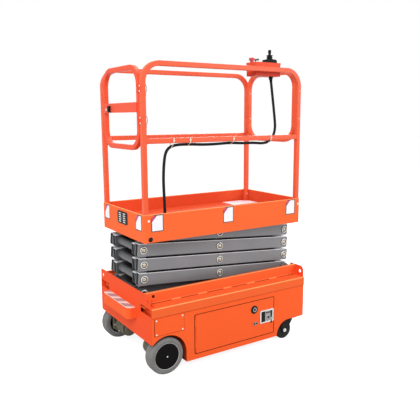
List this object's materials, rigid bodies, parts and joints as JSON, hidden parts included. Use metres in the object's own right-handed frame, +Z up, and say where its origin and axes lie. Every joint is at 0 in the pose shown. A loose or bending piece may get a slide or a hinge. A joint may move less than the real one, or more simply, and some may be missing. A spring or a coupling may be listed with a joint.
{
  "type": "scissor lift",
  "caption": "Self-propelled scissor lift: guarded platform on a folded scissor stack over a wheeled chassis with side doors.",
  "frame": {"origin": "centre of the object's box in plan, on the floor", "axes": "+X towards the end with the control box and the casters, -X towards the entry gate and the step, +Z up"},
  "size_m": [1.238, 0.76, 1.931],
  "materials": {
    "orange_paint": "gloss orange powder coat",
    "well_paint": "gloss orange powder coat",
    "arm_paint": "satin mid grey paint",
    "bracket_paint": "satin mid grey paint",
    "roller": "dark nylon",
    "barrel": "satin black paint",
    "rod": "polished hard chrome",
    "tyre": "grey non-marking solid rubber",
    "hub": "black paint",
    "motor": "dark olive paint",
    "fork": "black paint",
    "battery": "dark battery cases",
    "pump": "dark paint",
    "latch": "plated steel tray with a black paddle",
    "black_plastic": "moulded black plastic",
    "red_button": "red plastic mushroom",
    "cable": "black rubber sheath"
  },
  "bodies": {
    "chassis": {"lower_frame": "orange_paint", "scissor_well": "well_paint", "side_shelves": "orange_paint", "entry_end_plate": "orange_paint", "control_end_plate": "orange_paint", "side_panel_near": "orange_paint", "side_panel_far": "orange_paint", "arch_covers": "orange_paint", "entry_step": "well_paint", "battery_block": "battery", "power_unit_block": "pump", "drive_motor_near": "motor", "drive_motor_far": "motor", "caster_plates": "fork", "roller_tracks": "bracket_paint", "pivot_brackets": "bracket_paint"},
    "wheel_near": {"drive_hub_near": "hub", "drive_tyre_near": "tyre"},
    "wheel_far": {"drive_hub_far": "hub", "drive_tyre_far": "tyre"},
    "fork_near": {"caster_fork_near": "fork"},
    "fork_far": {"caster_fork_far": "fork"},
    "caster_near": {"caster_wheel_near": "tyre"},
    "caster_far": {"caster_wheel_far": "tyre"},
    "door_near": {"door_near": "orange_paint", "door_latch_near": "latch", "main_switch": "black_plastic"},
    "door_far": {"door_far": "orange_paint", "door_latch_far": "latch"},
    "outer_1": {"outer_arms_1": "arm_paint"},
    "outer_2": {"outer_arms_2": "arm_paint"},
    "outer_3": {"outer_arms_3": "arm_paint"},
    "outer_4": {"outer_arms_4": "arm_paint", "upper_rollers": "roller"},
    "inner_1": {"inner_arms_1": "arm_paint", "lower_rollers": "roller"},
    "inner_2": {"inner_arms_2": "arm_paint"},
    "inner_3": {"inner_arms_3": "arm_paint"},
    "inner_4": {"inner_arms_4": "arm_paint"},
    "barrel": {"lift_barrel": "barrel"},
    "rod": {"lift_rod": "rod"},
    "platform": {"platform_tray": "orange_paint", "upper_tracks": "bracket_paint", "platform_brackets": "bracket_paint", "guard_rail_near": "orange_paint", "guard_rail_far": "orange_paint", "end_guard": "orange_paint", "gate_hinges": "orange_paint", "control_box": "orange_paint", "joystick": "black_plastic", "stop_button": "red_button", "cable_grommet": "black_plastic", "control_cable": "cable"},
    "gate": {"gate_frame": "orange_paint", "gate_latch": "black_plastic"}
  },
  "joints": [
    {"name": "lift_fold", "type": "hinge", "parent": "chassis", "child": "outer_1", "pos_m": [0.5673, 0, 0.464], "axis": [0, 1, 0], "range_deg": [0, 46]},
    {"name": "stack_left_1", "type": "hinge", "parent": "outer_1", "child": "inner_2", "pos_m": [-0.5187, 0, 0.553], "axis": [0, -1, 0], "range_deg": [0, 93]},
    {"name": "stack_right_2", "type": "hinge", "parent": "inner_2", "child": "outer_3", "pos_m": [0.5673, 0, 0.642], "axis": [0, 1, 0], "range_deg": [0, 93]},
    {"name": "stack_left_3", "type": "hinge", "parent": "outer_3", "child": "inner_4", "pos_m": [-0.5187, 0, 0.731], "axis": [0, -1, 0], "range_deg": [0, 93]},
    {"name": "platform_level", "type": "hinge", "parent": "inner_4", "child": "platform", "pos_m": [0.5673, 0, 0.82], "axis": [0, 1, 0], "range_deg": [0, 47]},
    {"name": "centre_1", "type": "hinge", "parent": "outer_1", "child": "inner_1", "pos_m": [0.0243, 0, 0.5085], "axis": [0, -1, 0], "range_deg": [0, 93]},
    {"name": "centre_2", "type": "hinge", "parent": "inner_2", "child": "outer_2", "pos_m": [0.0243, 0, 0.5975], "axis": [0, 1, 0], "range_deg": [0, 93]},
    {"name": "centre_3", "type": "hinge", "parent": "outer_3", "child": "inner_3", "pos_m": [0.0243, 0, 0.6865], "axis": [0, -1, 0], "range_deg": [0, 93]},
    {"name": "centre_4", "type": "hinge", "parent": "inner_4", "child": "outer_4", "pos_m": [0.0243, 0, 0.7755], "axis": [0, 1, 0], "range_deg": [0, 93]},
    {"name": "barrel_tilt", "type": "hinge", "parent": "chassis", "child": "barrel", "pos_m": [0.2377, 0, 0.335], "axis": [0, 1, 0], "range_deg": [0, 47]},
    {"name": "rod_slide", "type": "slide", "parent": "barrel", "child": "rod", "axis": [-0.8381, 0, 0.5455], "range_m": [0, 0.158]},
    {"name": "drive_near_spin", "type": "hinge", "parent": "chassis", "child": "wheel_near", "pos_m": [-0.461, -0.333, 0.1125], "axis": [0, 1, 0], "continuous": true},
    {"name": "drive_far_spin", "type": "hinge", "parent": "chassis", "child": "wheel_far", "pos_m": [-0.461, 0.333, 0.1125], "axis": [0, 1, 0], "continuous": true},
    {"name": "swivel_near", "type": "hinge", "parent": "chassis", "child": "fork_near", "pos_m": [0.495, -0.326, 0.13], "axis": [0, 0, 1], "continuous": true},
    {"name": "swivel_far", "type": "hinge", "parent": "chassis", "child": "fork_far", "pos_m": [0.495, 0.326, 0.13], "axis": [0, 0, 1], "continuous": true},
    {"name": "caster_near_spin", "type": "hinge", "parent": "fork_near", "child": "caster_near", "pos_m": [0.463, -0.326, 0.0625], "axis": [0, 1, 0], "continuous": true},
    {"name": "caster_far_spin", "type": "hinge", "parent": "fork_far", "child": "caster_far", "pos_m": [0.463, 0.326, 0.0625], "axis": [0, 1, 0], "continuous": true},
    {"name": "gate_swing", "type": "hinge", "parent": "platform", "child": "gate", "pos_m": [-0.557, -0.262, 1.568], "axis": [0, 0, 1], "range_deg": [0, 100]},
    {"name": "door_near_swing", "type": "hinge", "parent": "chassis", "child": "door_near", "pos_m": [-0.2675, -0.375, 0.207], "axis": [0, 0, -1], "range_deg": [0, 95]},
    {"name": "door_far_swing", "type": "hinge", "parent": "chassis", "child": "door_far", "pos_m": [-0.2675, 0.375, 0.207], "axis": [0, 0, 1], "range_deg": [0, 95]}
  ],
  "couplings": [
    {"joint": "stack_left_1", "follows": "lift_fold", "ratio": 2},
    {"joint": "stack_right_2", "follows": "lift_fold", "ratio": 2},
    {"joint": "stack_left_3", "follows": "lift_fold", "ratio": 2},
    {"joint": "platform_level", "follows": "lift_fold", "ratio": 1},
    {"joint": "centre_1", "follows": "lift_fold", "ratio": 2},
    {"joint": "centre_2", "follows": "lift_fold", "ratio": 2},
    {"joint": "centre_3", "follows": "lift_fold", "ratio": 2},
    {"joint": "centre_4", "follows": "lift_fold", "ratio": 2},
    {"joint": "barrel_tilt", "follows": "lift_fold", "ratio": 1.013},
    {"joint": "rod_slide", "follows": "lift_fold", "m_per_rad": 0.19507}
  ]
}
